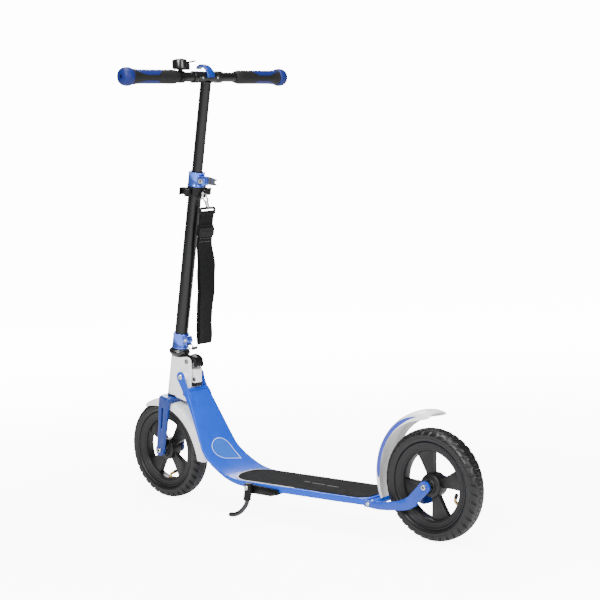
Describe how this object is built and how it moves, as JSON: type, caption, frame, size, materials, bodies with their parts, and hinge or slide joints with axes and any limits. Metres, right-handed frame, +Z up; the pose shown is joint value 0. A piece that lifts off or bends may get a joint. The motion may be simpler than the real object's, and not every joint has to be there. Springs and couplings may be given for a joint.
{
  "type": "folding kick scooter",
  "caption": "Folding kick scooter with large air tyres, a swept deck, a height-adjustable stem, plug-in handles, a fender brake, a kickstand and a carry strap.",
  "frame": {"origin": "on the ground midway between the wheel axles, which is the centre of the part's footprint", "axes": "+X forwards, +Y the rider's left, +Z up"},
  "size_m": [1.018, 0.5, 1.0102],
  "materials": {
    "blue_paint": "gloss",
    "fork_blue": "satin",
    "anodised_blue": "anodised",
    "white_plastic": "gloss",
    "white_paint": "gloss",
    "black_tube": "powder coated",
    "black_plastic": "matt",
    "rim_grey": "satin",
    "tyre": "matt",
    "rubber": "matt",
    "webbing": "woven",
    "mat_grit": "gritty",
    "black_metal": "satin",
    "steel": "bright",
    "grey_metal": "cast"
  },
  "bodies": {
    "frame": {"neck_and_deck": "blue_paint", "left_rear_arm": "blue_paint", "right_rear_arm": "blue_paint", "grip_mat": "mat_grit", "latch_block": "grey_metal", "fold_pivot_bolt": "steel", "brake_pin": "steel", "brake_spring": "steel", "rear_axle": "steel", "kickstand_bracket": "black_plastic", "kickstand_bolt": "steel"},
    "rear_wheel": {"rear_tyre": "tyre", "rear_inner_tube": "rubber", "rear_rim": "rim_grey", "rear_bearing_left": "steel", "rear_bearing_right": "steel"},
    "rear_brake": {"rear_fender": "white_plastic"},
    "kickstand": {"kickstand_sleeve": "black_plastic", "kickstand_leg": "black_metal"},
    "head": {"head_bracket": "white_paint", "headset_bearing_lower": "steel", "headset_bearing_upper": "steel", "bracket_bolt_upper": "steel", "bracket_bolt_lower": "steel"},
    "latch_lever": {"latch_lever": "black_plastic"},
    "steering": {"fork": "fork_blue", "front_axle": "steel", "front_fender": "white_plastic", "headset_cover": "black_plastic", "lower_collar": "anodised_blue", "lower_collar_bolt": "steel", "lower_tube": "black_tube", "clip_collar": "black_plastic", "height_clamp": "anodised_blue", "clamp_bolt": "steel", "carry_strap": "webbing", "strap_ring": "black_metal", "strap_slider": "black_plastic", "upper_snap_hook": "steel", "lower_snap_hook": "black_metal"},
    "front_wheel": {"front_tyre": "tyre", "front_inner_tube": "rubber", "front_rim": "rim_grey", "front_bearing_left": "steel", "front_bearing_right": "steel"},
    "quick_release": {"quick_release_lever": "black_plastic"},
    "upper_stem": {"upper_tube": "black_tube", "t_piece": "black_tube", "carry_hook": "anodised_blue"},
    "height_button": {"height_button": "steel"},
    "left_handle": {"left_handle_tube": "black_tube", "left_grip": "rubber", "bell_base": "black_plastic", "bell_cup": "black_metal"},
    "left_button": {"left_handle_button": "steel"},
    "bell_lever": {"bell_lever": "black_plastic"},
    "right_handle": {"right_handle_tube": "black_tube", "right_grip": "rubber"},
    "right_button": {"right_handle_button": "steel"}
  },
  "joints": [
    {"name": "rear_wheel_spin", "type": "hinge", "parent": "frame", "child": "rear_wheel", "pos_m": [-0.394, 0, 0.115], "axis": [0, 1, 0], "continuous": true},
    {"name": "rear_brake_press", "type": "hinge", "parent": "frame", "child": "rear_brake", "pos_m": [-0.268, 0, 0.072], "axis": [0, -1, 0], "range_deg": [0, 9], "stiffness_Nm_per_rad": 3, "springref_deg": -8.59, "deforming": ["brake_spring"]},
    {"name": "kickstand_fold", "type": "hinge", "parent": "frame", "child": "kickstand", "pos_m": [0.064, 0.074, 0.072], "axis": [0, 1, 0], "range_deg": [0, 95]},
    {"name": "stem_fold", "type": "hinge", "parent": "frame", "child": "head", "pos_m": [0.31, 0, 0.293], "axis": [0, -1, 0], "range_deg": [0, 78]},
    {"name": "latch_release", "type": "hinge", "parent": "head", "child": "latch_lever", "pos_m": [0.301, 0, 0.328], "axis": [0, 1, 0], "range_deg": [0, 28], "stiffness_Nm_per_rad": 0.3, "springref_deg": -17.19},
    {"name": "steering", "type": "hinge", "parent": "head", "child": "steering", "pos_m": [0.36586, 0, 0.24192], "axis": [-0.2164, 0, 0.9763], "range_deg": [-60, 60]},
    {"name": "front_wheel_spin", "type": "hinge", "parent": "steering", "child": "front_wheel", "pos_m": [0.394, 0, 0.115], "axis": [0, 1, 0], "continuous": true},
    {"name": "quick_release_open", "type": "hinge", "parent": "steering", "child": "quick_release", "pos_m": [0.23039, -0.0148, 0.7398], "axis": [-0.2164, 0, 0.9763], "range_deg": [0, 100]},
    {"name": "stem_height", "type": "slide", "parent": "steering", "child": "upper_stem", "axis": [-0.2164, 0, 0.9763], "range_m": [-0.192, 0], "deforming": ["height_button"]},
    {"name": "height_button_press", "type": "slide", "parent": "upper_stem", "child": "height_button", "axis": [0.8848, 0.4226, 0.1962], "range_m": [0, 0.0052], "stiffness_N_per_m": 1500, "springref_m": -0.002},
    {"name": "left_handle_pull", "type": "slide", "parent": "upper_stem", "child": "left_handle", "axis": [0, 1, 0], "range_m": [0, 0.045], "deforming": ["left_handle_button"]},
    {"name": "left_button_press", "type": "slide", "parent": "left_handle", "child": "left_button", "axis": [0.9763, 0, 0.2164], "range_m": [0, 0.0037], "stiffness_N_per_m": 1500, "springref_m": -0.002},
    {"name": "right_handle_pull", "type": "slide", "parent": "upper_stem", "child": "right_handle", "axis": [0, -1, 0], "range_m": [0, 0.045], "deforming": ["right_handle_button"]},
    {"name": "right_button_press", "type": "slide", "parent": "right_handle", "child": "right_button", "axis": [0.9763, 0, 0.2164], "range_m": [0, 0.0037], "stiffness_N_per_m": 1500, "springref_m": -0.002},
    {"name": "bell_lever_flick", "type": "hinge", "parent": "left_handle", "child": "bell_lever", "pos_m": [0.2044, 0.054, 0.98724], "axis": [0, 0, 1], "range_deg": [0, 30], "stiffness_Nm_per_rad": 0.05, "springref_deg": -11.46}
  ]
}
